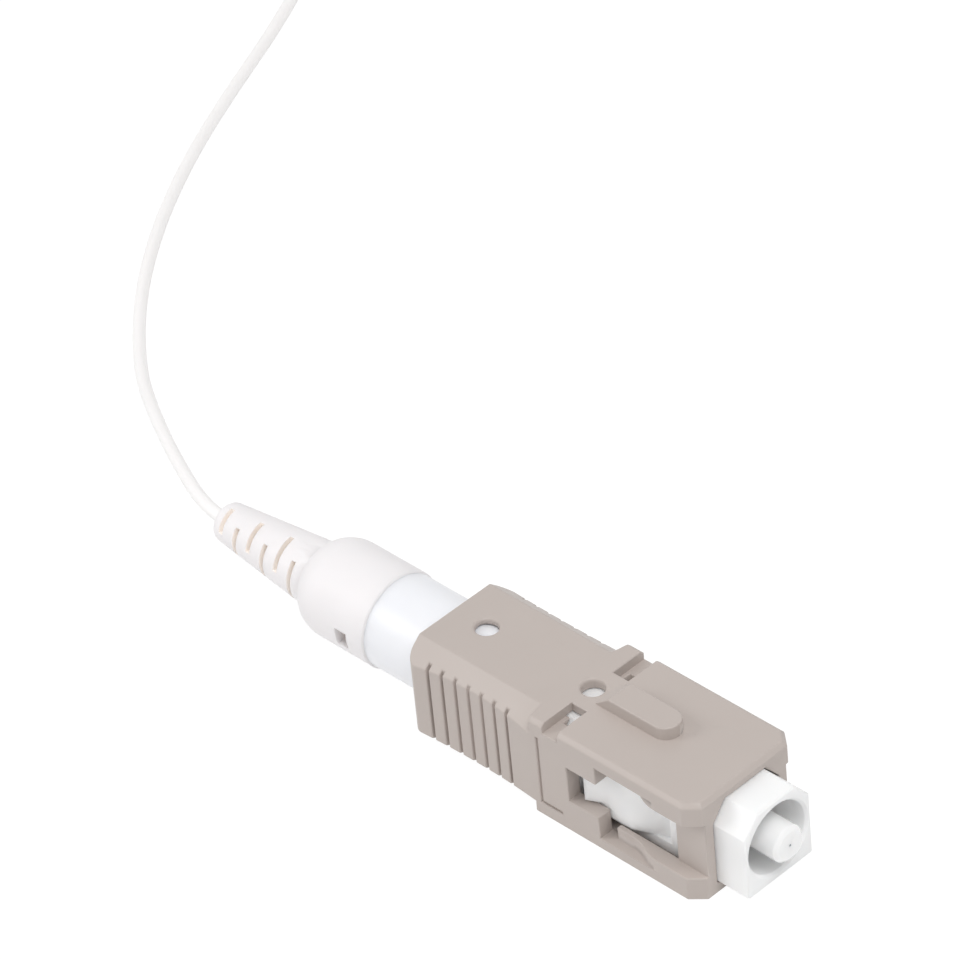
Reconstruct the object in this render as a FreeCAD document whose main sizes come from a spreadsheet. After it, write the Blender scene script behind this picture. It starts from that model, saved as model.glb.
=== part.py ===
"""SC fibre connector on a 0.9 mm buffered fibre pigtail, as a parametric FreeCAD document.

Lengths are millimetres.  Every piece is drawn about the optical axis, with x = 0 at the front
face of the outer housing and +X towards the ferrule's end, and is then placed so that the
housing stands on z = 0 and the connector's length is centred on x = 0.  All sizes are cells of
the sheet "Sizes": positions along the connector are distances behind the housing's front face.
"""
import FreeCAD
import Part
import Sketcher
import math
import os

SIZES = [
    # outer housing: the beige push-pull grip
    ("housing_length", 24.1, "front face to rear face"),
    ("housing_width", 9.0, "across the sides"),
    ("plate_thickness", 0.7, "top and bottom plates, over the frame"),
    ("edge_chamfer", 0.28, "softened upper edges of the top plate"),
    ("front_corner_length", 0.95, "plates' front corners, along X"),
    ("front_corner_depth", 0.8, "plates' front corners, along Y"),
    ("grip_front", 13.0, "where the ribbed grip begins"),
    ("bevel_flat", 6.1, "flat top of the grip between its bevels"),
    ("bevel_drop", 1.3, "height lost across an upper bevel"),
    ("foot_drop", 0.8, "height lost across a lower bevel"),
    ("bevel_side_end", 13.5, "front end of a bevel, at the side"),
    ("bevel_top_end", 13.8, "front end of a bevel, at its upper edge"),
    ("scoop_margin", 0.6, "grip's side left straight before and behind the hollow"),
    ("scoop_depth", 0.34, "hollow of the grip's sides, seen from above"),
    ("rear_corner_radius", 0.9, "grip's rear corners, seen from above"),
    ("rib_count", 7, "grooves on each side of the grip"),
    ("rib_pitch", 1.1, "from groove to groove"),
    ("rib_first", 15.7, "foremost groove"),
    ("rib_groove_width", 0.22, "across a groove"),
    ("rib_groove_depth", 0.2, "groove's floor below the hollow's deepest line"),
    ("step_groove_width", 0.2, "line that ends the grip"),
    ("step_groove_depth", 0.16, "depth of that line"),
    ("step_line_end", 11.2, "front end of the line along the bottom"),
    ("step_line_height", 0.95, "that line above the base"),
    ("top_hole_radius", 0.74, "two round holes in the top plate"),
    ("top_hole_countersink", 0.13, "bevel round their mouths"),
    ("top_hole_front", 12.35, "foremost hole"),
    ("top_hole_rear", 2.8, "rearmost hole, from the rear face"),
    ("slot_front", 11.15, "front wall of the two cross slots"),
    ("slot_length", 1.25, "cross slots, along X"),
    ("slot_inner", 1.8, "their inner ends, from the centre line"),
    ("slot_excess", 0.02, "their depth beyond the plate's thickness"),
    ("opening_length", 0.95, "deeper inner end of a slot, along X"),
    ("opening_width", 1.1, "that inner end, across"),
    ("opening_depth", 1.7, "that inner end, from the top face"),
    ("key_front", 5.3, "rounded front end of the polarity key"),
    ("key_rear", 11.3, "foot of the key's ramp"),
    ("key_ramp", 1.2, "length of that ramp"),
    ("key_width", 2.0, "across the key"),
    ("key_height", 0.9, "above the top face"),
    ("window_rear", 8.1, "rear end of the tall side window"),
    ("window_half_height", 2.03, "channel for the adapter's latch arms"),
    ("slit_margin", 0.2, "low window behind it, over the lug"),
    ("pillar_length", 2.5, "thin wall that bridges the window's mouth"),
    ("pillar_thickness", 0.7, "that wall, across"),
    ("rail_rear", 7.3, "rear end of the cam rails"),
    ("rail_thickness", 0.4, "cam rails, across"),
    ("rim_above", 1.1, "top plate's rim beside the rails"),
    ("rim_below", 0.78, "bottom plate's rim beside the rails"),
    ("cam_rear", 6.1, "where the rails start to swing out"),
    ("cam_front", 3.2, "where they reach the housing's side"),
    ("slide_clearance", 0.05, "housing over frame, each side"),
    ("collar_clearance", 0.1, "housing over the collar"),
    ("housing_back", 1.8, "housing's slide to the rear, to release"),
    ("housing_forward", 0.8, "housing's slide to the front"),
    ("slide_spare", 0.4, "room left in front of the collar"),
    ("lug_play", 0.05, "room left behind the lug"),
    # plug frame: the white inner body that the adapter latches on
    ("frame_width", 5.6, "across the sides"),
    ("frame_height", 5.9, "bottom to top"),
    ("frame_nose", 2.45, "projection in front of the housing"),
    ("frame_corner_y", 1.15, "cut top corners, across"),
    ("frame_corner_z", 1.35, "cut top corners, down"),
    ("frame_foot_chamfer", 0.12, "bottom corners"),
    ("frame_edge", 0.08, "chamfer round the frame's front face"),
    ("mouth_wall", 0.35, "least wall round the mouth"),
    ("mouth_countersink", 0.18, "lead-in of the mouth"),
    ("mouth_depth", 5.75, "from the frame's front face"),
    ("end_wall", 1.2, "wall behind the mouth"),
    ("ferrule_gap", 0.1, "ferrule in that wall"),
    ("latch_shoulder", 3.75, "face that the adapter's hooks hold"),
    ("latch_depth", 0.45, "latch pocket, below the frame's side"),
    ("latch_floor_end", 4.1, "rear end of the pocket's flat floor"),
    ("pad_front", 6.5, "front edge of the shoulder pad"),
    ("pad_step", 0.55, "pad's outer face above the frame's side"),
    ("pad_above", 1.55, "pad's upper edge, above the axis"),
    ("pad_below", 2.05, "pad's lower edge, below the axis"),
    ("lug_rear", 9.7, "steep face of the lug that keeps the housing on"),
    ("lug_length", 1.3, "lug, with its ramp"),
    ("lug_height", 0.6, "above the pad"),
    ("lug_half_height", 1.1, "lug, from the axis"),
    ("shoulder_front", 11.0, "where the frame widens to its full section"),
    ("socket_length", 5.5, "widened bore for the rear body"),
    ("snap_setback", 2.2, "snap windows behind that bore's front end"),
    ("snap_length", 1.5, "snap windows, along X"),
    ("snap_width", 2.0, "snap windows, across"),
    # ferrule, its flange and the glass
    ("ferrule_radius", 1.25, "zirconia ferrule"),
    ("ferrule_nose", 3.4, "its end face in front of the housing"),
    ("ferrule_in_flange", 2.6, "length pressed into the flange"),
    ("ferrule_step", 0.17, "taken off the radius behind the mouth"),
    ("ferrule_tip_length", 0.25, "tapered tip"),
    ("ferrule_tip_drop", 0.25, "taken off the radius at the polished end"),
    ("glass_radius", 0.0625, "glass fibre"),
    ("glass_gap", 0.003, "glass in the ferrule's bore"),
    ("press_gap", 0.01, "line-to-line seats"),
    ("flange_gap", 0.15, "flange disc in the frame's bore"),
    ("flange_disc", 1.5, "its thickness"),
    ("flange_notches", 4, "tuning notches round the disc"),
    ("flange_notch_width", 0.6, "across a notch"),
    ("flange_notch_depth", 0.35, "into the disc"),
    ("barrel_wall", 0.2, "flange barrel over the ferrule's radius"),
    ("barrel_length", 5.0, "flange, front face to the barrel's rear end"),
    ("ferrule_travel", 1.5, "ferrule's float against the spring"),
    ("buffer_gap", 0.06, "buffered fibre in its holes"),
    # spring
    ("spring_wire", 0.36, "wire diameter"),
    ("spring_over_barrel", 0.08, "inside of the coils off the barrel"),
    ("spring_turns", 6.5, "turns"),
    ("spring_room", 8.0, "flange disc to rear seat"),
    ("spring_seat_gap", 0.03, "each end, off its seat"),
    ("spring_bore_gap", 0.22, "spring in the frame's bore"),
    # rear body: bluish-white collar with a nose in the frame and a tail in the boot
    ("pocket_gap", 0.1, "spring in the nose's pocket"),
    ("pocket_depth", 2.0, "that pocket"),
    ("nose_wall", 0.4, "wall round that pocket"),
    ("nose_gap", 0.04, "nose in the frame's socket"),
    ("tooth_inset", 0.2, "snap teeth below the frame's top and bottom"),
    ("tooth_clearance", 0.08, "teeth in the frame's snap windows"),
    ("collar_over_frame", 0.27, "collar's radius over the frame's half height"),
    ("collar_length", 11.7, "collar"),
    ("tail_wall", 0.72, "tail inside the crimp sleeve"),
    ("tail_length", 4.7, "tail"),
    ("guide_gap", 0.05, "guide tube in the rear body"),
    # crimp sleeve and guide tube
    ("sleeve_gap", 0.03, "crimp sleeve on the tail"),
    ("sleeve_wall", 0.5, "crimp sleeve"),
    ("sleeve_start", 0.2, "behind the collar"),
    ("sleeve_length", 4.2, "crimp sleeve"),
    ("guide_wall", 0.27, "guide tube"),
    ("guide_spare", 0.4, "guide tube behind the barrel's travel"),
    ("guide_overhang", 0.7, "guide tube behind the tail"),
    ("fibre_spare", 0.2, "fibre's buffer behind the ferrule's travel"),
    # boot: soft white bend relief, its lengths from the collar's rear face
    ("boot_gap", 0.04, "boot on the crimp sleeve"),
    ("boot_rim", 0.12, "rim over the collar's radius"),
    ("boot_edge", 0.12, "chamfer of the rim"),
    ("boot_cavity", 5.5, "cavity round the crimp sleeve"),
    ("boot_shoulder", 4.7, "where the shoulder starts to turn in"),
    ("boot_shoulder_arc", 2.5, "shoulder's arc"),
    ("boot_taper", 7.6, "where the cavity has narrowed to the fibre"),
    ("boot_neck", 6.85, "root of the tail"),
    ("boot_neck_radius", 2.25, "radius at the root"),
    ("boot_tip", 15.3, "start of the tail's rounded end"),
    ("boot_tip_radius", 1.38, "radius there"),
    ("boot_tip_arc", 0.55, "rounding of the end"),
    ("boot_length", 15.75, "whole boot"),
    ("boot_mouth_rim", 0.41, "rim of the fibre's hole, over the hole's radius"),
    ("boot_slot_count", 6, "flex slots along the tail"),
    ("boot_slot_first", 7.85, "slot nearest the shoulder"),
    ("boot_slot_pitch", 1.38, "from slot to slot"),
    ("boot_slot_width", 0.38, "along X"),
    ("boot_slot_core", 0.29, "wall left round the fibre's hole"),
    ("boot_slot_sweep_low", 100.0, "arc of the slots on the flanks, degrees"),
    ("boot_slot_turn_low", 92.0, "their middle from the top, degrees"),
    ("boot_slot_sweep_high", 76.0, "arc of the slots between them, degrees"),
    ("boot_slot_turn_high", 42.0, "their middle from the top, degrees"),
    ("boot_window_front", 1.5, "two small windows in the boot's sides"),
    ("boot_window_length", 1.0, "along X"),
    ("boot_window_top", 0.25, "above the axis"),
    ("boot_window_bottom", 1.05, "below the axis"),
    # fibre outside the connector
    ("cord_radius", 0.45, "buffered fibre"),
    ("coil_radius", 8.0, "middle of the put-away turns"),
    ("coil_x", -64.425, "centre of the coil, along X"),
    ("coil_y", 62.95, "centre of the coil, along Y"),
    ("coil_section_width", 4.7, "bundle of turns, across"),
    ("coil_section_height", 3.7, "bundle of turns, up"),
    ("coil_section_corner", 0.5, "its cut corners"),
    ("tie_thickness", 0.3, "strap round the bundle"),
    ("tie_width", 2.4, "strap, along the bundle"),
    ("tie_gap", 0.05, "strap off the bundle"),
    ("tie_turn", 60.0, "where on the coil the strap sits, degrees"),
    # tools of the modelling
    ("beyond", 0.5, "how far a cut runs past the solid"),
]

# Route of the free fibre in the placed model, from the boot's mouth to the coil.
CORD_ROUTE = [
    (-24.175, 0.0, 3.7),
    (-26.0, 0.0, 3.7),
    (-31.0, 2.25, 3.3),
    (-36.5, 5.3, 2.4),
    (-43.225, 9.7, 0.45),
    (-49.225, 15.3, 0.45),
    (-54.225, 21.7, 0.45),
    (-58.425, 28.7, 0.45),
    (-61.825, 35.8, 0.45),
    (-64.825, 42.8, 0.45),
    (-68.225, 50.4, 0.45),
    (-71.925, 60.1, 0.9),
]

CLOSE = 1e-4  # two coordinates of one edge

doc = FreeCAD.newDocument("sc_fibre_connector")
sheet = doc.addObject("Spreadsheet::Sheet", "Sizes")


class Size:
    """A number together with the sheet expression that gives it."""

    def __init__(self, value, text):
        self.value = value
        self.text = text

    def joined(self, other, sign, value):
        return Size(value, "(%s %s %s)" % (self.text, sign, as_size(other).text))

    def __add__(self, other):
        return self.joined(other, "+", self.value + as_size(other).value)

    def __sub__(self, other):
        return self.joined(other, "-", self.value - as_size(other).value)

    def __mul__(self, other):
        return self.joined(other, "*", self.value * as_size(other).value)

    def __truediv__(self, other):
        return self.joined(other, "/", self.value / as_size(other).value)

    def __neg__(self):
        return Size(-self.value, "(-1 * %s)" % self.text)


def smaller(first, second):
    """The lesser of two sizes."""
    return Size(min(first.value, second.value), "min(%s; %s)" % (first.text, second.text))


def as_size(number):
    """Take a Size as it is and turn a plain number into one."""
    return number if isinstance(number, Size) else Size(float(number), repr(float(number)))


class SizeTable:
    """The sheet's cells as attributes, each a Size."""

    def __init__(self, rows):
        for row, (alias, number, note) in enumerate(rows, 1):
            sheet.set("A%d" % row, alias)
            sheet.set("B%d" % row, str(number))
            sheet.set("C%d" % row, note)
            sheet.setAlias("B%d" % row, alias)
            setattr(self, alias, Size(number, "Sizes." + alias))


s = SizeTable(SIZES)
doc.recompute()
beyond = s.beyond

# across the connector, each a distance from the axis
half_width = s.housing_width / 2
frame_side = s.frame_width / 2
frame_top = s.frame_height / 2
pad_outer = frame_side + s.pad_step
half_height = frame_top + s.slide_clearance + s.plate_thickness
side_height = half_height - s.bevel_drop
foot_height = half_height - s.foot_drop
channel_side = pad_outer + s.slide_clearance
rail_outer = channel_side + s.rail_thickness
barrel_radius = s.ferrule_radius + s.barrel_wall
spring_inner = barrel_radius + s.spring_over_barrel
spring_outer = spring_inner + s.spring_wire
spring_bore = spring_outer + s.spring_bore_gap
pocket_radius = spring_outer + s.pocket_gap
nose_radius = pocket_radius + s.nose_wall
socket_radius = nose_radius + s.nose_gap
collar_radius = frame_top + s.collar_over_frame
buffer_radius = s.cord_radius + s.buffer_gap
guide_radius = buffer_radius + s.guide_wall
guide_bore = guide_radius + s.guide_gap
tail_radius = guide_bore + s.tail_wall
sleeve_inner = tail_radius + s.sleeve_gap
sleeve_outer = sleeve_inner + s.sleeve_wall
boot_radius = collar_radius + s.boot_rim

# along the connector, each a distance behind the housing's front face
mouth_rear = s.mouth_depth - s.frame_nose
flange_seat = mouth_rear + s.end_wall
barrel_floor = flange_seat + s.ferrule_in_flange
disc_rear = flange_seat + s.flange_disc
barrel_rear = flange_seat + s.barrel_length
spring_seat = disc_rear + s.spring_room
socket_front = spring_seat - s.pocket_depth
snap_front = socket_front + s.snap_setback
frame_rear = socket_front + s.socket_length
collar_rear = frame_rear + s.collar_length
tail_rear = collar_rear + s.tail_length
boot_rear = collar_rear + s.boot_length

axis_height = half_height
centre_shift = (boot_rear - s.ferrule_nose) / 2


# ---------------------------------------------------------------- drawing helpers

def new_body(name):
    """A body on the optical axis, placed so that the housing stands on z = 0."""
    body = doc.addObject("PartDesign::Body", name)
    body.Label = name
    body.setExpression("Placement.Base.x", centre_shift.text)
    body.setExpression("Placement.Base.z", axis_height.text)
    return body


def origin_feature(body, role):
    """One of the body's own origin planes or axes."""
    return next(f for f in body.Origin.OriginFeatures if f.Role == role)


def new_sketch(body, plane, offset=None, turn=None):
    """A sketch on one of the body's origin planes, moved along its normal or turned about X."""
    sketch = body.newObject("Sketcher::SketchObject", body.Name + "_outline")
    sketch.AttachmentSupport = [(origin_feature(body, plane + "_Plane"), "")]
    sketch.MapMode = "FlatFace"
    if turn is not None:
        sketch.AttachmentOffset = FreeCAD.Placement(
            FreeCAD.Vector(), FreeCAD.Rotation(FreeCAD.Vector(1, 0, 0), turn.value))
        sketch.setExpression("AttachmentOffset.Rotation.Angle", turn.text)
    if offset is not None:
        sketch.setExpression("AttachmentOffset.Base.z", offset.text)
    return sketch


def pin(sketch, geometry, point, x, y):
    """Fix a point of the sketch at (x, y), bound to the sheet."""
    for kind, axis, place in (("DistanceX", -2, x), ("DistanceY", -1, y)):
        place = as_size(place)
        if place.text == "0.0":
            sketch.addConstraint(Sketcher.Constraint("PointOnObject", geometry, point, axis))
            continue
        index = sketch.addConstraint(
            Sketcher.Constraint(kind, -1, 1, geometry, point, place.value))
        sketch.setExpression("Constraints[%d]" % index, place.text)


def draw(sketch, corners):
    """Closed outline through corners (x, y) or (x, y, bend).

    A bend is the radius of the arc to the next corner, negative where it turns clockwise.
    """
    flat = [FreeCAD.Vector(as_size(c[0]).value, as_size(c[1]).value, 0) for c in corners]
    edges = []
    for index, corner in enumerate(corners):
        start, end = flat[index], flat[(index + 1) % len(flat)]
        if len(corner) == 2:
            edges.append((sketch.addGeometry(Part.LineSegment(start, end)), 1, 2))
            continue
        clockwise = corner[2].value < 0
        if clockwise:
            start, end = end, start
        radius = abs(corner[2].value)
        chord = end - start
        rise = math.sqrt(radius ** 2 - (chord.Length / 2) ** 2)
        centre = (start + end) / 2 + FreeCAD.Vector(-chord.y, chord.x, 0).normalize() * rise
        angles = [math.atan2(p.y - centre.y, p.x - centre.x) for p in (start, end)]
        circle = Part.Circle(centre, FreeCAD.Vector(0, 0, 1), radius)
        arc = sketch.addGeometry(Part.ArcOfCircle(circle, angles[0], angles[1]))
        edges.append((arc, 2, 1) if clockwise else (arc, 1, 2))
        index = sketch.addConstraint(Sketcher.Constraint("Radius", arc, radius))
        bend = -corner[2] if clockwise else corner[2]
        sketch.setExpression("Constraints[%d]" % index, bend.text)
    for index, (edge, first, last) in enumerate(edges):
        following, its_first, _ = edges[(index + 1) % len(edges)]
        sketch.addConstraint(
            Sketcher.Constraint("Coincident", edge, last, following, its_first))
        pin(sketch, edge, first, corners[index][0], corners[index][1])


def draw_circle(sketch, x, y, radius):
    """A circle of the given radius about (x, y)."""
    centre = FreeCAD.Vector(as_size(x).value, as_size(y).value, 0)
    circle = sketch.addGeometry(Part.Circle(centre, FreeCAD.Vector(0, 0, 1), radius.value))
    index = sketch.addConstraint(Sketcher.Constraint("Radius", circle, radius.value))
    sketch.setExpression("Constraints[%d]" % index, radius.text)
    pin(sketch, circle, 3, x, y)


def box_corners(x_low, x_high, y_low, y_high):
    """Corners of a rectangle, counter-clockwise."""
    return [(x_low, y_low), (x_high, y_low), (x_high, y_high), (x_low, y_high)]


def both_sides(corners):
    """The outline and its mirror image across the x axis."""
    turned = []
    for index in range(len(corners)):
        x, y = corners[-index][:2]
        bend = corners[-index - 1][2:]
        turned.append((x, -as_size(y)) + tuple(bend))
    return [corners, turned]


def extrude(body, kind, sketch, length, two_sided=False, flipped=False):
    """Pad or Pocket a sketch; two_sided shares the length between both directions."""
    feature = body.newObject("PartDesign::" + kind, body.Name + "_" + kind.lower())
    feature.Profile = sketch
    feature.SideType = "Symmetric" if two_sided else "One side"
    feature.Reversed = flipped
    feature.setExpression("Length", length.text)
    body.Tip = feature
    return feature


def along_x(body, kind, outlines, front, rear):
    """Pad or Pocket outlines in (y, z) from `front` back to `rear`, both behind x = 0."""
    sketch = new_sketch(body, "YZ", -front)
    for outline in outlines:
        draw(sketch, outline)
    return extrude(body, kind, sketch, rear - front, flipped=(kind == "Pad"))


def bore(body, front, rear, radius):
    """Round hole about the axis from `front` back to `rear`."""
    sketch = new_sketch(body, "YZ", -front)
    draw_circle(sketch, 0, 0, radius)
    return extrude(body, "Pocket", sketch, rear - front)


def across(body, kind, plane, outlines, half):
    """Pad or Pocket outlines equally to both sides of an origin plane."""
    sketch = new_sketch(body, plane)
    for outline in outlines:
        draw(sketch, outline)
    return extrude(body, kind, sketch, half * 2, two_sided=True)


def revolve(body, profile, kind="Revolution", sweep=None, turn=None):
    """Turn a profile in (x, radius) about the axis, fully or through a centred sweep."""
    sketch = new_sketch(body, "XZ", turn=turn)
    for outline in profile:
        draw(sketch, outline)
    feature = body.newObject("PartDesign::" + kind, body.Name + "_turned")
    feature.Profile = sketch
    feature.ReferenceAxis = (sketch, ["H_Axis"])
    if sweep is None:
        feature.Angle = 360
    else:
        feature.Midplane = True
        feature.setExpression("Angle", sweep.text)
    body.Tip = feature
    return feature


def chamfer(body, size, wanted):
    """Chamfer the edges of the body so far that `wanted` accepts."""
    doc.recompute()
    base = body.Tip
    names = ["Edge%d" % n for n, edge in enumerate(base.Shape.Edges, 1) if wanted(edge)]
    feature = body.newObject("PartDesign::Chamfer", body.Name + "_chamfer")
    feature.Base = (base, names)
    feature.setExpression("Size", size.text)
    body.Tip = feature
    return feature


def near(first, second):
    return abs(first - second) < CLOSE


def tube(name, front, rear, inner, outer):
    """A plain sleeve about the axis."""
    body = new_body(name)
    revolve(body, [box_corners(-rear, -front, inner, outer)])
    return body


# ---------------------------------------------------------------- outer housing

def frame_section(side, grow):
    """The plug frame's outline in (y, z) out to `side`, grown by `grow` all round."""
    y = side + grow
    z = frame_top + grow
    cut_y = y - s.frame_corner_y
    cut_z = z - s.frame_corner_z
    foot = s.frame_foot_chamfer
    return [(-y, -(z - foot)), (-(y - foot), -z), (y - foot, -z), (y, -(z - foot)),
            (y, cut_z), (cut_y, z), (-cut_y, z), (-y, cut_z)]


def housing_blanks(body):
    """Bevelled grip behind, plain block in front, its top plate softened at the edges."""
    flat = s.bevel_flat / 2
    grip = [(-half_width, -foot_height), (-flat, -half_height), (flat, -half_height),
            (half_width, -foot_height), (half_width, side_height), (flat, half_height),
            (-flat, half_height), (-half_width, side_height)]
    along_x(body, "Pad", [grip], s.grip_front, s.housing_length)
    corner_y = half_width - s.front_corner_depth
    block = [(0, -corner_y), (0, corner_y), (-s.front_corner_length, half_width),
             (-s.bevel_side_end, half_width), (-s.bevel_top_end, flat),
             (-s.bevel_top_end, -flat), (-s.bevel_side_end, -half_width),
             (-s.front_corner_length, -half_width)]
    across(body, "Pad", "XY", [block], half_height)

    def plate_edge(edge):
        ends = [v.Point for v in edge.Vertexes]
        if len(ends) < 2 or not all(near(p.z, half_height.value) for p in ends):
            return False
        front = -s.front_corner_length.value - CLOSE
        on_side = all(near(abs(p.y), half_width.value) for p in ends)
        return on_side or all(p.x > front for p in ends)

    chamfer(body, s.edge_chamfer, plate_edge)


def housing_grip(body):
    """Rounded rear corners, hollowed and ribbed sides, and the line that ends the grip."""
    radius = s.rear_corner_radius
    rear = -s.housing_length
    corner = [(rear, half_width - radius, -radius), (rear + radius, half_width),
              (rear + radius, half_width + beyond), (rear - beyond, half_width + beyond),
              (rear - beyond, half_width - radius)]
    across(body, "Pocket", "XY", both_sides(corner), half_height + beyond)

    out = half_width + beyond
    half_chord = (s.housing_length - s.grip_front) / 2 - s.scoop_margin
    depth = s.scoop_depth
    bend = (half_chord * half_chord + depth * depth) / (depth * 2)
    front = -(s.grip_front + s.scoop_margin)
    back = rear + s.scoop_margin
    scoop = [(back, half_width, bend), (front, half_width), (front, out), (back, out)]
    across(body, "Pocket", "XY", both_sides(scoop), half_height + beyond)

    mouth = s.rib_groove_width / 2
    middle = -s.rib_first
    floor = half_width - depth - s.rib_groove_depth
    groove = box_corners(middle - mouth, middle + mouth, floor, out)
    first = across(body, "Pocket", "XY", both_sides(groove), half_height + beyond)
    pattern = body.newObject("PartDesign::LinearPattern", "grip_ribs")
    pattern.Originals = [first]
    pattern.Direction = (origin_feature(body, "X_Axis"), [""])
    pattern.Reversed = True
    pattern.setExpression("Occurrences", s.rib_count.text)
    pattern.setExpression("Length", ((s.rib_count - 1) * s.rib_pitch).text)
    body.Tip = pattern

    inner = half_width - s.step_groove_depth
    low = s.step_line_height - half_height
    for top, start in ((side_height, s.grip_front - s.step_groove_width),
                       (low + s.step_groove_width, s.step_line_end)):
        line = [box_corners(inner, out, low, top), box_corners(-out, -inner, low, top)]
        along_x(body, "Pocket", line, start, s.grip_front)


def housing_cavity(body):
    """The way through for the frame: narrow in front, wide behind, round for the collar."""
    rear = s.housing_length + beyond
    narrow = frame_section(frame_side, s.slide_clearance)
    wide = frame_section(pad_outer, s.slide_clearance)
    along_x(body, "Pocket", [narrow], -beyond, s.pillar_length)
    along_x(body, "Pocket", [wide], s.pillar_length, rear)
    bore(body, frame_rear - s.housing_back - s.slide_spare, rear,
         collar_radius + s.collar_clearance)


def housing_windows(body):
    """Side windows, thin pillars, and the cam rails that lift the adapter's latch arms."""
    tall = s.window_half_height
    out = half_width + beyond
    across(body, "Pocket", "XZ",
           [box_corners(-s.window_rear, -s.pillar_length, -tall, tall)], out)
    slit_rear = s.lug_rear + s.housing_forward + s.lug_play
    low = s.lug_half_height + s.slit_margin
    across(body, "Pocket", "XZ",
           [box_corners(-slit_rear, -s.window_rear, -low, low)], out)
    pillar_outer = frame_side + s.slide_clearance + s.pillar_thickness
    channel = box_corners(-s.pillar_length, beyond, pillar_outer, out)
    across(body, "Pocket", "XY", both_sides(channel), tall)

    length = s.cam_rear - s.cam_front
    rise = half_width - rail_outer
    bend = (length * length + rise * rise) / (rise * 4)
    middle_x = -(s.cam_rear + s.cam_front) / 2
    middle_y = (rail_outer + half_width) / 2
    relief = [(-s.rail_rear, channel_side), (-s.rail_rear, rail_outer),
              (-s.cam_rear, rail_outer, bend), (middle_x, middle_y, -bend),
              (-s.cam_front, half_width), (-s.cam_front, out), (-s.window_rear, out),
              (-s.window_rear, channel_side)]
    sketch = new_sketch(body, "XY", half_height - s.rim_above)
    for outline in both_sides(relief):
        draw(sketch, outline)
    extrude(body, "Pocket", sketch, half_height * 2 - s.rim_above - s.rim_below)


def housing_top(body):
    """Two round holes, two cross slots and the polarity key."""
    wall = s.plate_thickness
    sketch = new_sketch(body, "XY", half_height)
    for place in (s.top_hole_front, s.housing_length - s.top_hole_rear):
        draw_circle(sketch, -place, 0, s.top_hole_radius)
    extrude(body, "Pocket", sketch, wall + beyond)

    def hole_mouth(edge):
        round_edge = isinstance(edge.Curve, Part.Circle)
        return (round_edge and near(edge.Curve.Radius, s.top_hole_radius.value)
                and near(edge.Curve.Center.z, half_height.value))

    chamfer(body, s.top_hole_countersink, hole_mouth)
    sketch = new_sketch(body, "XY", half_height)
    slot = box_corners(-(s.slot_front + s.slot_length), -s.slot_front,
                       s.slot_inner, half_width + beyond)
    for outline in both_sides(slot):
        draw(sketch, outline)
    extrude(body, "Pocket", sketch, wall + s.slot_excess)
    sketch = new_sketch(body, "XY", half_height)
    opening = box_corners(-(s.slot_front + s.opening_length), -s.slot_front,
                          s.slot_inner, s.slot_inner + s.opening_width)
    for outline in both_sides(opening):
        draw(sketch, outline)
    extrude(body, "Pocket", sketch, s.opening_depth)

    half_key = s.key_width / 2
    straight_end = -(s.key_front + half_key)
    root = half_height - wall / 2
    sketch = new_sketch(body, "XY", root)
    draw(sketch, [(straight_end, -half_key, half_key), (-s.key_front, 0, half_key),
                  (straight_end, half_key), (-s.key_rear, half_key),
                  (-s.key_rear, -half_key)])
    extrude(body, "Pad", sketch, s.key_height + wall / 2)
    top = half_height + s.key_height
    ramp = [(-s.key_rear, half_height), (-(s.key_rear - s.key_ramp), top),
            (-s.key_rear, top + beyond), (-(s.key_rear + beyond), top + beyond),
            (-(s.key_rear + beyond), half_height)]
    across(body, "Pocket", "XZ", [ramp], half_key + s.slide_clearance)


def make_outer_housing():
    body = new_body("outer_housing")
    housing_blanks(body)
    housing_grip(body)
    housing_cavity(body)
    housing_windows(body)
    housing_top(body)
    return body


# ---------------------------------------------------------------- plug frame

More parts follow.
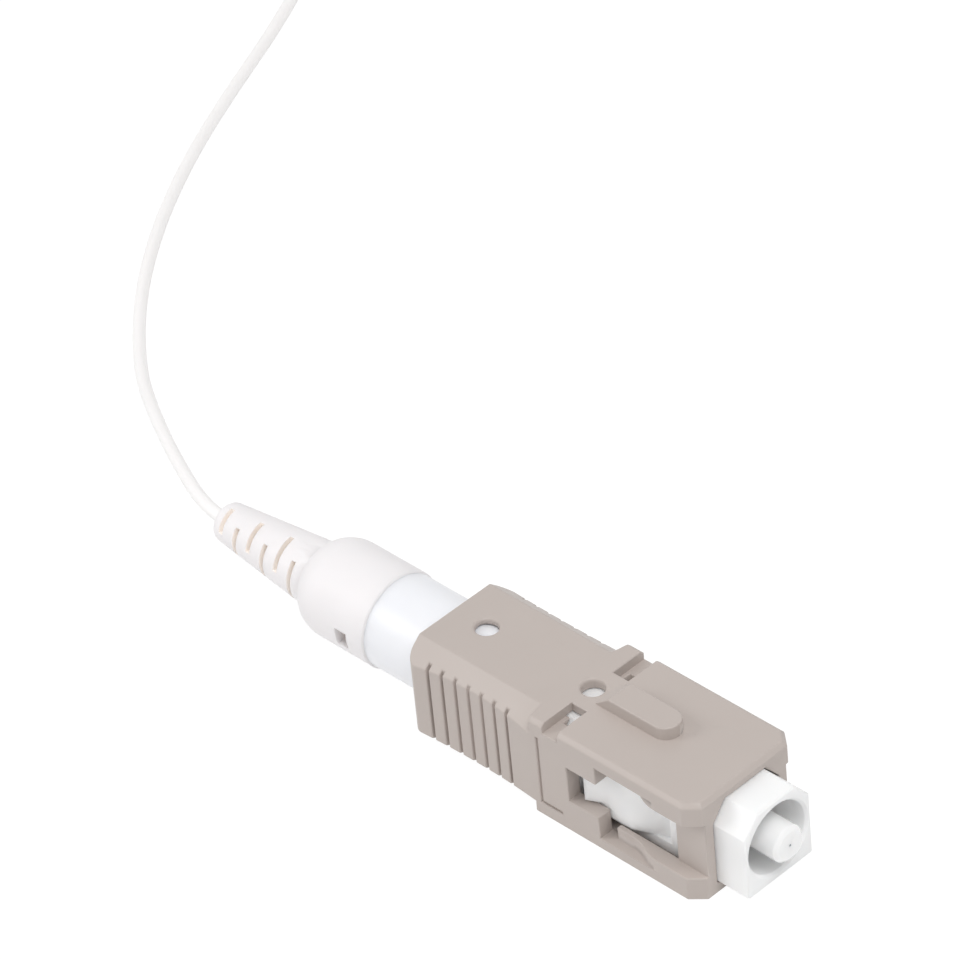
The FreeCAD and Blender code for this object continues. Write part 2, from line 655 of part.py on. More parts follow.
def make_plug_frame():
    """Nose and bores, latch pockets and shoulder pads, lugs, and snap windows."""
    body = new_body("plug_frame")
    nose = -s.frame_nose
    along_x(body, "Pad", [frame_section(frame_side, as_size(0))], nose, frame_rear)
    along_x(body, "Pad", [frame_section(pad_outer, as_size(0))], s.shoulder_front, frame_rear)
    chamfer(body, s.frame_edge, lambda edge: all(
        near(v.Point.x, s.frame_nose.value) for v in edge.Vertexes))

    floor = frame_side - s.latch_depth
    slope = (pad_outer - floor) / (s.pad_front - s.latch_floor_end)
    root = frame_side - s.frame_foot_chamfer
    root_x = -(s.latch_floor_end + (root - floor) / slope)
    pad = [(-s.lug_rear, root), (root_x, root), (-s.pad_front, pad_outer),
           (-s.lug_rear, pad_outer)]
    over = frame_side + s.frame_foot_chamfer
    over_x = -(s.latch_floor_end + (over - floor) / slope)
    pocket = [(-s.latch_floor_end, floor), (-s.latch_shoulder, floor),
              (-s.latch_shoulder, over), (over_x, over)]
    for kind, outline in (("Pad", pad), ("Pocket", pocket)):
        sketch = new_sketch(body, "XY", s.pad_above)
        for side in both_sides(outline):
            draw(sketch, side)
        extrude(body, kind, sketch, s.pad_above + s.pad_below, flipped=(kind == "Pad"))
    lug = [(-s.lug_rear, root), (-(s.lug_rear - s.lug_length), root),
           (-(s.lug_rear - s.lug_length), pad_outer),
           (-s.lug_rear, pad_outer + s.lug_height)]
    across(body, "Pad", "XY", both_sides(lug), s.lug_half_height)

    mouth_radius = smaller(frame_side, frame_top) - s.mouth_wall
    bore(body, nose, mouth_rear, mouth_radius)
    chamfer(body, s.mouth_countersink, lambda edge: (
        isinstance(edge.Curve, Part.Circle)
        and near(edge.Curve.Radius, mouth_radius.value)
        and near(edge.Curve.Center.x, s.frame_nose.value)))
    bore(body, nose, flange_seat, s.ferrule_radius + s.ferrule_gap)
    bore(body, flange_seat, frame_rear, spring_bore)
    bore(body, socket_front, frame_rear, socket_radius)
    snap = box_corners(-(snap_front + s.snap_length), -snap_front,
                       -s.snap_width / 2, s.snap_width / 2)
    across(body, "Pocket", "XY", [snap], s.frame_height)
    return body


# ---------------------------------------------------------------- ferrule group

ferrule_seat = s.ferrule_radius - s.ferrule_step


def make_ferrule():
    """Ceramic ferrule with a tapered, polished tip, a stepped rear and a bore for the glass."""
    body = new_body("ferrule")
    tip = s.ferrule_nose
    hole = s.glass_radius + s.glass_gap
    profile = [(-barrel_floor, hole), (tip, hole), (tip, s.ferrule_radius - s.ferrule_tip_drop),
               (tip - s.ferrule_tip_length, s.ferrule_radius),
               (-mouth_rear, s.ferrule_radius), (-mouth_rear, ferrule_seat),
               (-barrel_floor, ferrule_seat)]
    revolve(body, [profile])
    return body


def make_ferrule_flange():
    """Metal flange: notched disc, barrel for the spring, seats for ferrule and fibre."""
    body = new_body("ferrule_flange")
    seat = ferrule_seat + s.press_gap
    disc = spring_bore - s.flange_gap
    profile = [(-flange_seat, seat), (-flange_seat, disc), (-disc_rear, disc),
               (-disc_rear, barrel_radius), (-barrel_rear, barrel_radius),
               (-barrel_rear, buffer_radius), (-barrel_floor, buffer_radius),
               (-barrel_floor, seat)]
    revolve(body, [profile])
    half = s.flange_notch_width / 2
    notch = box_corners(disc - s.flange_notch_depth, disc + beyond, -half, half)
    first = along_x(body, "Pocket", [notch], flange_seat, disc_rear)
    pattern = body.newObject("PartDesign::PolarPattern", "tuning_notches")
    pattern.Originals = [first]
    pattern.Axis = (origin_feature(body, "X_Axis"), [""])
    pattern.Angle = 360
    pattern.setExpression("Occurrences", s.flange_notches.text)
    body.Tip = pattern
    return body


def make_bare_fibre():
    """The glass, from the polished end to the flange's fibre hole."""
    body = new_body("bare_fibre")
    profile = box_corners(-barrel_floor, s.ferrule_nose, as_size(0), s.glass_radius)
    revolve(body, [profile])
    return body


# ---------------------------------------------------------------- spring

def make_spring():
    """Round-wire compression spring from the flange disc to its seat in the rear body."""
    wire = s.spring_wire / 2
    mean = spring_outer - wire
    front = disc_rear + s.spring_seat_gap + wire
    height = spring_seat - s.spring_seat_gap - wire - front
    helix = doc.addObject("Part::Helix", "spring_path")
    helix.setExpression("Radius", mean.text)
    helix.setExpression("Height", height.text)
    helix.setExpression("Pitch", (height / s.spring_turns).text)
    section = doc.addObject("Part::RegularPolygon", "spring_section")
    section.Polygon = 6
    section.setExpression("Circumradius", wire.text)
    section.Placement = FreeCAD.Placement(
        FreeCAD.Vector(mean.value, 0, 0), FreeCAD.Rotation(FreeCAD.Vector(1, 0, 0), 90))
    section.setExpression("Placement.Base.x", mean.text)
    spring = doc.addObject("Part::Sweep", "spring")
    spring.Sections = [section]
    spring.Spine = (helix, ["Edge1"])
    spring.Solid = True
    spring.Frenet = True
    spring.Label = "spring"
    spring.Placement.Rotation = FreeCAD.Rotation(FreeCAD.Vector(0, 1, 0), -90)
    spring.setExpression("Placement.Base.x", (centre_shift - front).text)
    spring.setExpression("Placement.Base.z", axis_height.text)
    return spring


# ---------------------------------------------------------------- rear body and its fittings

def make_rear_body():
    """Nose with snap teeth and the spring's seat, round collar, and tail for the crimp."""
    body = new_body("rear_body")
    profile = [(-socket_front, pocket_radius), (-socket_front, nose_radius),
               (-frame_rear, nose_radius), (-frame_rear, collar_radius),
               (-collar_rear, collar_radius), (-collar_rear, tail_radius),
               (-tail_rear, tail_radius), (-tail_rear, guide_bore),
               (-spring_seat, guide_bore), (-spring_seat, pocket_radius)]
    revolve(body, [profile])
    root = (pocket_radius + nose_radius) / 2
    front = -(snap_front + s.tooth_clearance)
    rear = -(snap_front + s.snap_length - s.tooth_clearance)
    tooth = [(rear, root), (front, root), (front, nose_radius),
             (rear, frame_top - s.tooth_inset)]
    across(body, "Pad", "XZ", both_sides(tooth), s.snap_width / 2 - s.tooth_clearance)
    return body


def make_crimp_sleeve():
    front = collar_rear + s.sleeve_start
    return tube("crimp_sleeve", front, front + s.sleeve_length, sleeve_inner, sleeve_outer)


def make_guide_tube():
    front = barrel_rear + s.ferrule_travel + s.guide_spare
    rear = tail_rear + s.guide_overhang
    return tube("guide_tube", front, rear, buffer_radius, guide_radius)


def make_buffered_fibre():
    """The buffered fibre inside the connector, up to the boot's mouth."""
    front = barrel_floor + s.ferrule_travel + s.fibre_spare
    return tube("buffered_fibre", front, boot_rear, as_size(0), s.cord_radius)


# ---------------------------------------------------------------- boot

def make_boot():
    """Rim round the collar, rounded shoulder, and a slotted tail that bends."""
    body = new_body("boot")
    cavity = sleeve_outer + s.boot_gap
    front = -collar_rear
    profile = [(front, cavity), (front - s.boot_cavity, cavity),
               (front - s.boot_taper, buffer_radius), (-boot_rear, buffer_radius),
               (-boot_rear, buffer_radius + s.boot_mouth_rim, -s.boot_tip_arc),
               (front - s.boot_tip, s.boot_tip_radius),
               (front - s.boot_neck, s.boot_neck_radius, -s.boot_shoulder_arc),
               (front - s.boot_shoulder, boot_radius), (front - s.boot_edge, boot_radius),
               (front, boot_radius - s.boot_edge)]
    revolve(body, [profile])
    half = s.boot_slot_width / 2
    core = buffer_radius + s.boot_slot_core
    for index in range(int(s.boot_slot_count.value)):
        middle = front - s.boot_slot_first - s.boot_slot_pitch * index
        slot = box_corners(middle - half, middle + half, core, boot_radius)
        sweep = (s.boot_slot_sweep_low, s.boot_slot_sweep_high)[index % 2]
        turn = (s.boot_slot_turn_low, s.boot_slot_turn_high)[index % 2]
        revolve(body, both_sides(slot), "Groove", sweep, turn)
    window_front = front - s.boot_window_front
    window = box_corners(window_front - s.boot_window_length, window_front,
                         -s.boot_window_bottom, s.boot_window_top)
    across(body, "Pocket", "XZ", [window], boot_radius + beyond)
    return body


# ---------------------------------------------------------------- fibre outside the connector

ARC_SHARE = 0.45  # part of the shorter run that an arc takes


def cord_path(points):
    """Straight runs joined by tangent arcs, each as large as its two runs allow."""
    points = [FreeCAD.Vector(*point) for point in points]
    edges = []
    radii = []
    last = points[0]
    for before, corner, after in zip(points, points[1:], points[2:]):
        back = (before - corner).normalize()
        ahead = (after - corner).normalize()
        half_turn = (math.pi - back.getAngle(ahead)) / 2
        cut = ARC_SHARE * min((corner - before).Length, (after - corner).Length)
        radius = cut / math.tan(half_turn)
        inward = (back + ahead).normalize()
        middle = corner + inward * (radius / math.cos(half_turn) - radius)
        start, end = corner + back * cut, corner + ahead * cut
        edges.append(Part.LineSegment(last, start).toShape())
        edges.append(Part.Arc(start, middle, end).toShape())
        radii.append(round(radius, 1))
        last = end
    edges.append(Part.LineSegment(last, points[-1]).toShape())
    return Part.Wire(edges), radii


def make_fibre_cord():
    """The free fibre from the boot to the coil, along CORD_ROUTE."""
    path, radii = cord_path(CORD_ROUTE)
    print("fibre cord radii, mm:", radii)
    start = path.Edges[0]
    radius = s.cord_radius.value
    circle = Part.Circle(start.valueAt(start.FirstParameter),
                         start.tangentAt(start.FirstParameter), radius)
    cord = doc.addObject("Part::Feature", "fibre_cord")
    cord.Label = "fibre_cord"
    cord.Shape = path.makePipeShell([Part.Wire(circle.toShape())], True, False)
    cord.Placement = FreeCAD.Placement()
    expected = math.pi * radius ** 2 * path.Length
    if abs(cord.Shape.Volume / expected - 1) > 0.01:
        raise RuntimeError("fibre_cord: volume %.3f, expected %.3f"
                           % (cord.Shape.Volume, expected))
    print("fibre cord length, mm: %.1f" % path.Length)
    return cord


def cut_box(x_low, x_high, y_low, y_high, cut):
    """Corners of a rectangle with its corners cut off, counter-clockwise."""
    return [(x_low + cut, y_low), (x_high - cut, y_low),
            (x_high, y_low + cut), (x_high, y_high - cut),
            (x_high - cut, y_high), (x_low + cut, y_high),
            (x_low, y_high - cut), (x_low, y_low + cut)]


def bundle_outline(grow):
    """The bundle's section in (radius, z), grown by `grow`, the bundle off the surface."""
    half = s.coil_section_width / 2 + grow
    base = s.tie_thickness + s.tie_gap
    return cut_box(s.coil_radius - half, s.coil_radius + half, base - grow,
                   base + s.coil_section_height + grow, s.coil_section_corner + grow / 2)


def coil_body(name, outlines, sweep=None):
    """Turn outlines in (radius, z) about the coil's upright axis."""
    body = doc.addObject("PartDesign::Body", name)
    body.Label = name
    body.setExpression("Placement.Base.x", s.coil_x.text)
    body.setExpression("Placement.Base.y", s.coil_y.text)
    sketch = new_sketch(body, "XZ")
    for outline in outlines:
        draw(sketch, outline)
    feature = body.newObject("PartDesign::Revolution", name + "_turned")
    feature.Profile = sketch
    feature.ReferenceAxis = (sketch, ["V_Axis"])
    if sweep is None:
        feature.Angle = 360
    else:
        feature.Midplane = True
        feature.setExpression("Angle", sweep.text)
    body.Tip = feature
    return body


def make_fibre_coil():
    """Outer shape of the put-away turns of fibre."""
    return coil_body("fibre_coil", [bundle_outline(as_size(0))])


def make_coil_tie():
    """Thin strap round the bundle."""
    sweep = s.tie_width / s.coil_radius * math.degrees(1)
    outlines = [bundle_outline(s.tie_gap + s.tie_thickness), bundle_outline(s.tie_gap)]
    body = coil_body("coil_tie", outlines, sweep)
    body.Placement.Rotation = FreeCAD.Rotation(FreeCAD.Vector(0, 0, 1), s.tie_turn.value)
    body.setExpression("Placement.Rotation.Angle", s.tie_turn.text)
    return body


# ---------------------------------------------------------------- all pieces

PIECES = [
    make_outer_housing(),
    make_plug_frame(),
    make_ferrule(),
    make_ferrule_flange(),
    make_bare_fibre(),
    make_spring(),
    make_rear_body(),
    make_crimp_sleeve(),
    make_guide_tube(),
    make_buffered_fibre(),
    make_boot(),
    make_fibre_cord(),
    make_fibre_coil(),
    make_coil_tie(),
]

doc.recompute()
for item in doc.Objects:
    if "Invalid" in item.State or "Error" in item.State:
        raise RuntimeError("%s could not be built: %s" % (item.Name, item.State))

os.makedirs("parts", exist_ok=True)
for piece in PIECES:
    shape = piece.Shape
    if shape.isNull() or not shape.isValid() or len(shape.Solids) != 1:
        raise RuntimeError("%s is not one sound solid" % piece.Label)
    box = shape.optimalBoundingBox(False, False)
    print("%-16s %8.2f mm3   x %7.2f %7.2f   y %6.2f %6.2f   z %5.2f %5.2f" % (
        piece.Label, shape.Volume, box.XMin, box.XMax, box.YMin, box.YMax, box.ZMin, box.ZMax))
    shape.exportStep("parts/%s.step" % piece.Label)
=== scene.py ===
"""Looks of the SC fibre connector: finishes, fine edges, the fibre's lie, camera and light."""
import math

import bmesh
import bpy
from mathutils import Matrix, Vector


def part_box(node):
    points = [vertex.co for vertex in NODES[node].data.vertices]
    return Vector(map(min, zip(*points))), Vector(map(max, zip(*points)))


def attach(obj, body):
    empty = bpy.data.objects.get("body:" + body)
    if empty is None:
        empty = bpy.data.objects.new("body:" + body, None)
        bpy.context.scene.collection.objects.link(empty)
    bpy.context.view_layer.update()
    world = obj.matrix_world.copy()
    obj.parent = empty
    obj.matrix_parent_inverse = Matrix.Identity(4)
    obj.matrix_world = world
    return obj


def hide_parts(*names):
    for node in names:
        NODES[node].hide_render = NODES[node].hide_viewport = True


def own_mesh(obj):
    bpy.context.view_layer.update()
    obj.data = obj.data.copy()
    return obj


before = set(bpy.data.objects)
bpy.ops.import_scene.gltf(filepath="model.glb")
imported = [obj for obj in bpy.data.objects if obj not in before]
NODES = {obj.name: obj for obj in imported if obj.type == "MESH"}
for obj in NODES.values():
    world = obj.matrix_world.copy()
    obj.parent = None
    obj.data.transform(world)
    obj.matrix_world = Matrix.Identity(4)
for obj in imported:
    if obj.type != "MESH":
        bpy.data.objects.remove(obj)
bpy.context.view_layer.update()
MM = 0.001


def add_object(name, data):
    """A new object of the scene."""
    item = bpy.data.objects.new(name, data)
    bpy.context.scene.collection.objects.link(item)
    return item


# ---------------------------------------------------------------- camera

CAMERA_AIM = Vector((-17.895, 16.17, 0.0)) * MM
CAMERA_DISTANCE = 407.7 * MM
CAMERA_AZIMUTH = math.radians(48.2)
CAMERA_ELEVATION = math.radians(38.31)
CAMERA_ROLL = math.radians(-5.8)
CAMERA_LENS = 237.5
CAMERA_NEAR = 0.01  # metres
CAMERA_FAR = 50.0


def make_camera():
    """The photograph's viewing angle, from the front right and above."""
    back = Vector((math.sin(CAMERA_AZIMUTH) * math.cos(CAMERA_ELEVATION),
                   -math.cos(CAMERA_AZIMUTH) * math.cos(CAMERA_ELEVATION),
                   math.sin(CAMERA_ELEVATION)))
    right = Vector((math.cos(CAMERA_AZIMUTH), math.sin(CAMERA_AZIMUTH), 0.0))
    up = back.cross(right)
    turned_right = right * math.cos(CAMERA_ROLL) + up * math.sin(CAMERA_ROLL)
    turned_up = up * math.cos(CAMERA_ROLL) - right * math.sin(CAMERA_ROLL)
    camera = add_object("camera", bpy.data.cameras.new("camera"))
    turn = Matrix((turned_right, turned_up, back)).transposed().to_4x4()
    camera.matrix_world = Matrix.Translation(CAMERA_AIM + back * CAMERA_DISTANCE) @ turn
    camera.data.lens = CAMERA_LENS
    camera.data.clip_start = CAMERA_NEAR
    camera.data.clip_end = CAMERA_FAR
    bpy.context.scene.camera = camera


# ---------------------------------------------------------------- materials

WHITE = (1.0, 1.0, 1.0, 1.0)
CLOUD_SCALE = 260.0  # flow clouds in moulded plastic, to the metre
CLOUD_DETAIL = 3.0
GLOSS_SPREAD = 0.05  # roughness either side of its middle value
PLASTIC_SPECULAR = 0.35
GRAIN_DETAIL = 4.0
GRAIN_STRENGTH = 0.6
LIGHT_REACH = 0.8 * MM  # how far light goes into plastic
LIGHT_SHARES = (1.0, 0.97, 0.94)  # of that reach, for red, green and blue
COAT_ROUGHNESS = 0.2
RING_DISTORTION = 1.5
RING_STRENGTH = 0.3
RING_DEPTH = 0.004 * MM


def linear(red, green, blue):
    """A colour written in sRGB bytes, as the shaders take it."""
    values = []
    for byte in (red, green, blue):
        value = byte / 255
        values.append(value / 12.92 if value <= 0.04045 else ((value + 0.055) / 1.055) ** 2.4)
    return tuple(values) + (1.0,)


def new_material(name):
    """A material with its nodes and links."""
    material = bpy.data.materials.new(name)
    material.use_nodes = True
    return material, material.node_tree.nodes, material.node_tree.links


def mix_colour(nodes, links, factor, first, second):
    """A Mix node between two plain colours, driven by a factor socket."""
    mix = nodes.new("ShaderNodeMix")
    mix.data_type = "RGBA"
    links.new(factor, mix.inputs["Factor"])
    mix.inputs["A"].default_value = first
    mix.inputs["B"].default_value = second
    return mix.outputs["Result"]


def raise_bumps(nodes, links, height, strength, depth):
    """Bumps on the Principled shader's surface, from a height socket."""
    bump = nodes.new("ShaderNodeBump")
    bump.inputs["Strength"].default_value = strength
    bump.inputs["Distance"].default_value = depth
    links.new(height, bump.inputs["Height"])
    links.new(bump.outputs["Normal"], nodes["Principled BSDF"].inputs["Normal"])


def moulded(slot, colour, shade, roughness, grain, grain_size, subsurface=0.0, coat=0.0):
    """Moulded plastic: faint flow clouds in the colour, uneven gloss and a fine grain."""
    material, nodes, links = new_material("look_" + slot)
    material["slot"] = slot
    shader = nodes["Principled BSDF"]
    place = nodes.new("ShaderNodeTexCoord")
    clouds = nodes.new("ShaderNodeTexNoise")
    clouds.inputs["Scale"].default_value = CLOUD_SCALE
    clouds.inputs["Detail"].default_value = CLOUD_DETAIL
    links.new(place.outputs["Object"], clouds.inputs["Vector"])
    links.new(mix_colour(nodes, links, clouds.outputs["Fac"], colour, shade),
              shader.inputs["Base Color"])
    uneven = nodes.new("ShaderNodeMapRange")
    uneven.inputs["To Min"].default_value = roughness - GLOSS_SPREAD
    uneven.inputs["To Max"].default_value = roughness + GLOSS_SPREAD
    links.new(clouds.outputs["Fac"], uneven.inputs["Value"])
    links.new(uneven.outputs["Result"], shader.inputs["Roughness"])
    fine = nodes.new("ShaderNodeTexNoise")
    fine.inputs["Scale"].default_value = 1.0 / grain_size
    fine.inputs["Detail"].default_value = GRAIN_DETAIL
    links.new(place.outputs["Object"], fine.inputs["Vector"])
    raise_bumps(nodes, links, fine.outputs["Fac"], GRAIN_STRENGTH, grain)
    shader.inputs["Specular IOR Level"].default_value = PLASTIC_SPECULAR
    shader.inputs["Subsurface Weight"].default_value = subsurface
    shader.inputs["Subsurface Radius"].default_value = LIGHT_SHARES
    shader.inputs["Subsurface Scale"].default_value = LIGHT_REACH
    shader.inputs["Coat Weight"].default_value = coat
    shader.inputs["Coat Roughness"].default_value = COAT_ROUGHNESS
    return material


def metal(slot, colour, roughness, ring_size):
    """Turned or drawn metal with faint tool rings."""
    material, nodes, links = new_material("look_" + slot)
    material["slot"] = slot
    shader = nodes["Principled BSDF"]
    shader.inputs["Base Color"].default_value = colour
    shader.inputs["Metallic"].default_value = 1.0
    shader.inputs["Roughness"].default_value = roughness
    place = nodes.new("ShaderNodeTexCoord")
    rings = nodes.new("ShaderNodeTexWave")
    rings.inputs["Scale"].default_value = 1.0 / ring_size
    rings.inputs["Distortion"].default_value = RING_DISTORTION
    links.new(place.outputs["Object"], rings.inputs["Vector"])
    raise_bumps(nodes, links, rings.outputs["Fac"], RING_STRENGTH, RING_DEPTH)
    return material


def make_glass():
    """The glass fibre, seen as a tiny clear dot in the ferrule's end."""
    material, nodes, _ = new_material("look_glass_fibre")
    shader = nodes["Principled BSDF"]
    shader.inputs["Base Color"].default_value = linear(225, 235, 240)
    shader.inputs["Transmission Weight"].default_value = 0.6
    shader.inputs["Roughness"].default_value = 0.03
    return material


def coat_with(item, material):
    """Give the whole piece one material."""
    item.data.materials.clear()
    item.data.materials.append(material)


HOUSING = moulded("housing_beige", linear(191, 181, 175), linear(187, 177, 171),
                  roughness=0.42, grain=0.006 * MM, grain_size=0.05 * MM)
FRAME = moulded("frame_white", linear(253, 253, 253), linear(250, 251, 251),
                roughness=0.38, grain=0.004 * MM, grain_size=0.06 * MM, subsurface=0.7)
CERAMIC = moulded("zirconia", linear(253, 253, 253), linear(251, 251, 251),
                  roughness=0.12, grain=0.0008 * MM, grain_size=0.05 * MM,
                  subsurface=0.7, coat=0.4)
COLLAR = moulded("collar_white", linear(243, 244, 248), linear(239, 240, 245),
                 roughness=0.3, grain=0.003 * MM, grain_size=0.08 * MM, subsurface=0.4)
BOOT = moulded("boot_white", linear(243, 240, 241), linear(240, 237, 238),
               roughness=0.5, grain=0.008 * MM, grain_size=0.06 * MM, subsurface=0.4)
# painted glow: a lighter, warmer copy of the boot's colour for the slot faces, in place of
# light shining through the thin walls
BOOT_SLOTS_PAINTED_GLOW = moulded("boot_white", linear(254, 246, 240), linear(253, 243, 236),
                     roughness=0.5, grain=0.008 * MM, grain_size=0.06 * MM, subsurface=0.4)
BOOT_SLOTS_PAINTED_GLOW.name = "look_boot_slots_painted_glow"
BUFFER = moulded("buffer_white", linear(251, 249, 248), linear(249, 246, 245),
                 roughness=0.4, grain=0.003 * MM, grain_size=0.05 * MM, subsurface=0.2)
TUBE = moulded("tube_ptfe", linear(240, 240, 240), linear(235, 235, 236),
               roughness=0.35, grain=0.003 * MM, grain_size=0.05 * MM, subsurface=0.4)
STRAP = moulded("tie_white", linear(246, 246, 244), linear(241, 241, 239),
                roughness=0.6, grain=0.01 * MM, grain_size=0.08 * MM, subsurface=0.1)
BRASS = metal("sleeve_brass", linear(186, 150, 84), roughness=0.3, ring_size=0.25 * MM)
NICKEL = metal("flange_metal", linear(196, 190, 180), roughness=0.25, ring_size=0.3 * MM)
STEEL = metal("spring_steel", linear(170, 170, 172), roughness=0.3, ring_size=0.3 * MM)


# ---------------------------------------------------------------- pieces from the fixed frame

WELD = 0.0005 * MM  # vertices closer than this are one
FLAT_TURN = math.radians(0.6)  # facets that turn less than this are one face
ROUNDED_TURN = math.radians(32.0)  # outer edges that turn more than this are rounded
ROUNDING_SEGMENTS = 3
SHARP_TURN = math.radians(35.0)  # shading breaks at edges that turn more than this

# where the boot has its flex slots, whose faces get the painted glow: along its tail from the
# rear end, and around the axis
SLOTS_START = 0.5 * MM
SLOTS_END = 8.6 * MM
SLOTS_FLOOR = 0.56 * MM
SLOTS_BELOW_SKIN = 0.12 * MM
TAIL_END_RADIUS = 1.38 * MM
TAIL_TAPER = 0.1


def bake_modifiers(item):
    """Put the modifiers' result into the mesh."""
    graph = bpy.context.evaluated_depsgraph_get()
    baked = bpy.data.meshes.new_from_object(item.evaluated_get(graph))
    item.modifiers.clear()
    item.data = baked


def smooth(item):
    """Smooth shading that breaks at sharp edges and leaves large faces flat."""
    for polygon in item.data.polygons:
        polygon.use_smooth = True
    item.data.set_sharp_from_angle(angle=SHARP_TURN)
    item.modifiers.new("flat faces", "WEIGHTED_NORMAL").keep_sharp = True
    bake_modifiers(item)


def finer(node, name, body, material, width, clamp=True):
    """The node's own shape with its outer edges rounded by `width`, as a moulding's are.

    Inner edges stay crisp.  With the clamp, no rounding is wider than its faces have room for;
    one narrow face then thins them all.
    """
    mesh = NODES[node].data.copy()
    mesh.name = name
    item = add_object(name, mesh)
    work = bmesh.new()
    work.from_mesh(mesh)
    bmesh.ops.remove_doubles(work, verts=work.verts, dist=WELD)
    bmesh.ops.dissolve_limit(work, angle_limit=FLAT_TURN, verts=work.verts,
                             edges=work.edges, use_dissolve_boundaries=False)
    weight = work.edges.layers.float.new("bevel_weight_edge")
    for edge in work.edges:
        outward_turn = edge.calc_face_angle_signed(0.0)
        edge[weight] = 1.0 if outward_turn > ROUNDED_TURN else 0.0
    work.to_mesh(mesh)
    work.free()
    bevel = item.modifiers.new("rounding", "BEVEL")
    bevel.width = width
    bevel.segments = ROUNDING_SEGMENTS
    bevel.limit_method = "WEIGHT"
    bevel.use_clamp_overlap = clamp
    bake_modifiers(item)
    smooth(item)
    coat_with(item, material)
    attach(item, body)
    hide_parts(node)
    return item


def paint_slot_glow(item):
    """The boot's flex slots are thin-walled: their faces get a lighter, warmer colour, a
    painted glow in place of the light that comes through them.
    """
    item.data.materials.append(BOOT_SLOTS_PAINTED_GLOW)
    low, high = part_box("boot")
    axis = (low.z + high.z) / 2
    for polygon in item.data.polygons:
        x, y, z = polygon.center
        along = x - low.x
        outside = TAIL_END_RADIUS + along * TAIL_TAPER
        in_slots = SLOTS_START < along < SLOTS_END
        if in_slots and SLOTS_FLOOR < math.hypot(y, z - axis) < outside - SLOTS_BELOW_SKIN:
            polygon.material_index = 1


def make_spring():
    """The spring's coils in steel, on their own copy of the part's mesh, riding with the plug.
    """
    item = add_object("ferrule_spring", NODES["spring"].data.copy())
    coat_with(item, STEEL)
    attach(item, "plug")
    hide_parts("spring")
    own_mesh(item)
    return item


# ---------------------------------------------------------------- fibre

# Middle of the free fibre in millimetres, from the boot's mouth to where the coil starts.
CORD_ROUTE = [
    (-24.175, 0.0, 3.7),
    (-26.0, 0.0, 3.7),
    (-31.0, 2.25, 3.3),
    (-36.5, 5.3, 2.4),
    (-43.225, 9.7, 0.45),
    (-49.225, 15.3, 0.45),
    (-54.225, 21.7, 0.45),
    (-58.425, 28.7, 0.45),
    (-61.825, 35.8, 0.45),
    (-64.825, 42.8, 0.45),
    (-68.625, 50.2, 0.45),
]
CORD_DIAMETER = 0.9
CORD_LENGTH = 1000.0
CORD_RESOLUTION = 6  # steps along the line, from point to point
CORD_ROUNDNESS = 5  # of the section
COIL_LEAD = 10.0  # from the route's last point to the coil's first
COIL_START = math.radians(205.0)
COIL_STEPS = 16  # points to a turn
COIL_PITCH = 0.91  # from turn to turn, sideways and upwards
COIL_ROWS = 4  # pitches between the outermost turn and the innermost
COIL_MARGIN = 0.05  # off the coil's outside
COIL_LIFT = 0.02  # off the surface
COIL_CLIMB_TURNS = 0.45  # turns taken to climb to the next layer
SPLINE_OWN_SHARE = 0.75  # a point's weight in the quadratic spline beside it


def coil_points(length):
    """Turns of the put-away fibre, wound out and in, layer on layer, for a given length."""
    low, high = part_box("fibre_coil")
    centre = (low + high) / 2 / MM
    outer = (high.x - low.x) / 2 / MM - CORD_DIAMETER / 2 - COIL_MARGIN
    inner = outer - COIL_ROWS * COIL_PITCH
    step = 2 * math.pi / COIL_STEPS
    # the spline runs inside its points, so they stand further out than the turns
    grow = 1 / (SPLINE_OWN_SHARE + (1 - SPLINE_OWN_SHARE) * math.cos(step))
    points = []
    angle, radius = COIL_START, outer
    height = low.z / MM + CORD_DIAMETER / 2 + COIL_LIFT
    inward, climb, wound = True, 0.0, 0.0
    while wound < length:
        points.append((centre.x + radius * grow * math.cos(angle),
                       centre.y + radius * grow * math.sin(angle), height))
        angle -= step
        wound += step * radius
        if climb > 0:
            climb -= 1 / COIL_STEPS
            height += COIL_PITCH / (COIL_CLIMB_TURNS * COIL_STEPS)
            continue
        radius += (-1 if inward else 1) * COIL_PITCH / COIL_STEPS
        if (inward and radius < inner) or (not inward and radius > outer):
            radius = inner if inward else outer
            inward = not inward
            climb = COIL_CLIMB_TURNS
    return points


def make_cord():
    """Free fibre from the boot along the surface, its unseen length in a tied coil."""
    run = sum(math.dist(a, b) for a, b in zip(CORD_ROUTE, CORD_ROUTE[1:]))
    points = CORD_ROUTE + coil_points(CORD_LENGTH - run - COIL_LEAD)
    curve = bpy.data.curves.new("fibre", "CURVE")
    curve.dimensions = "3D"
    spline = curve.splines.new("NURBS")
    spline.points.add(len(points) - 1)
    for point, place in zip(spline.points, points):
        point.co = (place[0] * MM, place[1] * MM, place[2] * MM, 1.0)
    spline.order_u = 3
    spline.use_endpoint_u = True
    spline.resolution_u = CORD_RESOLUTION
    curve.bevel_depth = CORD_DIAMETER / 2 * MM
    curve.bevel_resolution = CORD_ROUNDNESS
    curve.use_fill_caps = True
    item = add_object("fibre", curve)
    coat_with(item, BUFFER)
    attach(item, "plug")
    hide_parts("fibre_cord", "fibre_coil")
    return item


# ---------------------------------------------------------------- stage and light

WORLD_LEVEL = 0.5  # light from all round, where 1 is white
FLOOR_REACH = 1.5  # metres from the middle
FLOOR_LEVEL = 0.93  # its own colour
FLOOR_ROUGHNESS = 0.9
FLOOR_GLOW = 0.88  # share of the white background in what the camera sees of it
GLOW_LEVEL = 1.08
LAMPS = (  # name, place and size in metres, watts
    ("key", (0.28, -0.1, 0.68), 0.4, 2.6),
    ("fill", (-0.4, -0.42, 0.36), 0.3, 1.05),
)


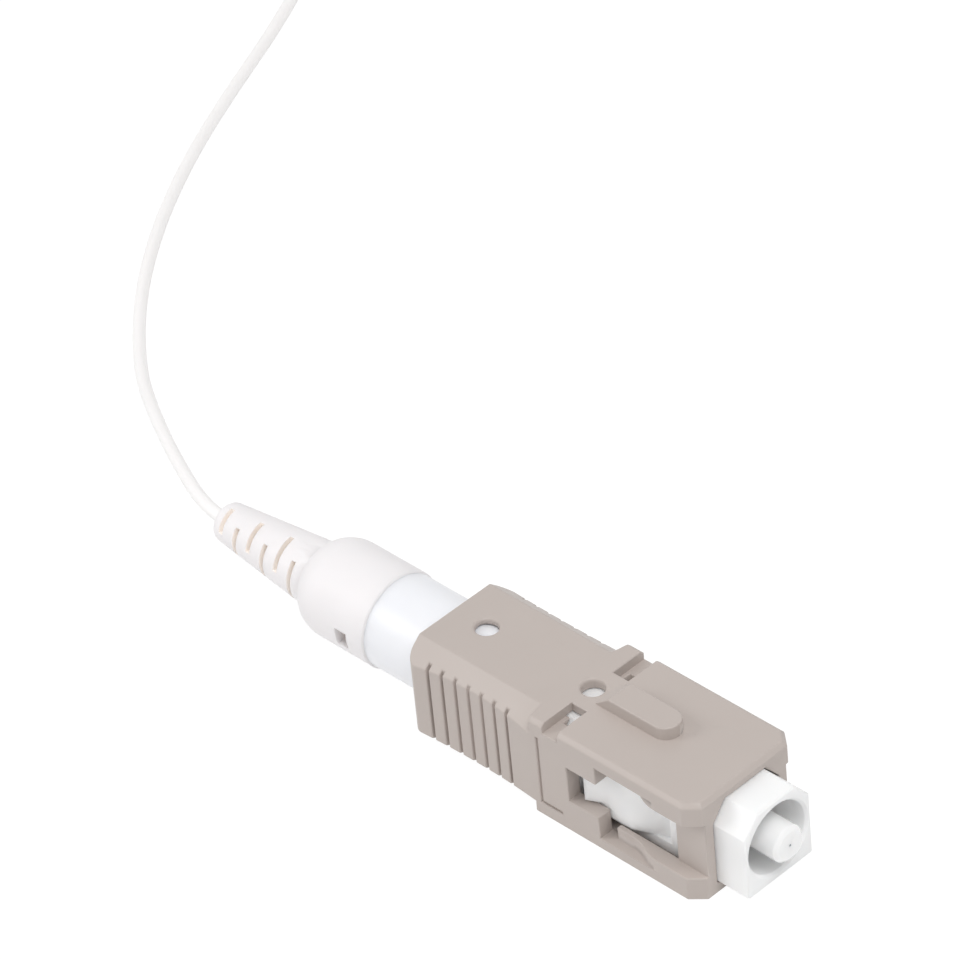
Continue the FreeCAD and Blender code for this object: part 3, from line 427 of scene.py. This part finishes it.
def add_lamp(name, place, size, watts):
    """A soft square lamp that shines at the middle of the frame."""
    lamp = add_object(name, bpy.data.lights.new(name, "AREA"))
    lamp.data.energy = watts
    lamp.data.size = size
    lamp.location = place
    lamp.rotation_euler = (-Vector(place)).to_track_quat("-Z", "Y").to_euler()


def seen_directly(nodes, links):
    """One for camera, glossy and transmission rays, nothing for the light on the part."""
    path = nodes.new("ShaderNodeLightPath")
    total = path.outputs["Is Camera Ray"]
    for ray in ("Is Glossy Ray", "Is Transmission Ray"):
        either = nodes.new("ShaderNodeMath")
        either.operation = "MAXIMUM"
        links.new(total, either.inputs[0])
        links.new(path.outputs[ray], either.inputs[1])
        total = either.outputs[0]
    return total


def make_floor():
    """A pale surface that keeps a faint shadow and is nearly white where it is seen."""
    mesh = bpy.data.meshes.new("surface")
    mesh.from_pydata([(-FLOOR_REACH, -FLOOR_REACH, 0), (FLOOR_REACH, -FLOOR_REACH, 0),
                      (FLOOR_REACH, FLOOR_REACH, 0), (-FLOOR_REACH, FLOOR_REACH, 0)],
                     [], [(0, 1, 2, 3)])
    surface = add_object("surface", mesh)
    material, nodes, links = new_material("surface_white")
    shader = nodes["Principled BSDF"]
    shader.inputs["Base Color"].default_value = (FLOOR_LEVEL,) * 3 + (1.0,)
    shader.inputs["Roughness"].default_value = FLOOR_ROUGHNESS
    share = nodes.new("ShaderNodeMath")
    share.operation = "MULTIPLY"
    share.inputs[1].default_value = FLOOR_GLOW
    links.new(seen_directly(nodes, links), share.inputs[0])
    glow = nodes.new("ShaderNodeEmission")
    glow.inputs["Color"].default_value = WHITE
    glow.inputs["Strength"].default_value = GLOW_LEVEL
    mix = nodes.new("ShaderNodeMixShader")
    links.new(share.outputs[0], mix.inputs["Fac"])
    links.new(shader.outputs["BSDF"], mix.inputs[1])
    links.new(glow.outputs["Emission"], mix.inputs[2])
    links.new(mix.outputs["Shader"], nodes["Material Output"].inputs["Surface"])
    mesh.materials.append(material)


def make_surroundings():
    """A world that is white where it is seen and a dimmer, even light on the part."""
    world = bpy.data.worlds.new("studio")
    bpy.context.scene.world = world
    world.use_nodes = True
    nodes, links = world.node_tree.nodes, world.node_tree.links
    strength = nodes.new("ShaderNodeMapRange")
    strength.inputs["To Min"].default_value = WORLD_LEVEL
    strength.inputs["To Max"].default_value = 1.0
    links.new(seen_directly(nodes, links), strength.inputs["Value"])
    nodes["Background"].inputs["Color"].default_value = WHITE
    links.new(strength.outputs["Result"], nodes["Background"].inputs["Strength"])


# ---------------------------------------------------------------- the whole picture

make_camera()
finer("outer_housing", "grip_housing", "housing", HOUSING, 0.09 * MM, clamp=False)
finer("plug_frame", "inner_frame", "plug", FRAME, 0.05 * MM)
finer("rear_body", "collar", "plug", COLLAR, 0.08 * MM)
# the boot's slot faces get a painted glow for the light through their thin walls
paint_slot_glow(finer("boot", "bend_boot", "plug", BOOT, 0.05 * MM))
finer("ferrule", "ferrule_tip", "ferrule", CERAMIC, 0.05 * MM)
for node, material in (("ferrule_flange", NICKEL), ("bare_fibre", make_glass()),
                       ("crimp_sleeve", BRASS), ("guide_tube", TUBE),
                       ("buffered_fibre", BUFFER), ("coil_tie", STRAP)):
    coat_with(NODES[node], material)
make_spring()
make_cord()
make_floor()
make_surroundings()
for name, place, size, watts in LAMPS:
    add_lamp(name, place, size, watts)
bpy.context.scene.view_settings.view_transform = "Standard"
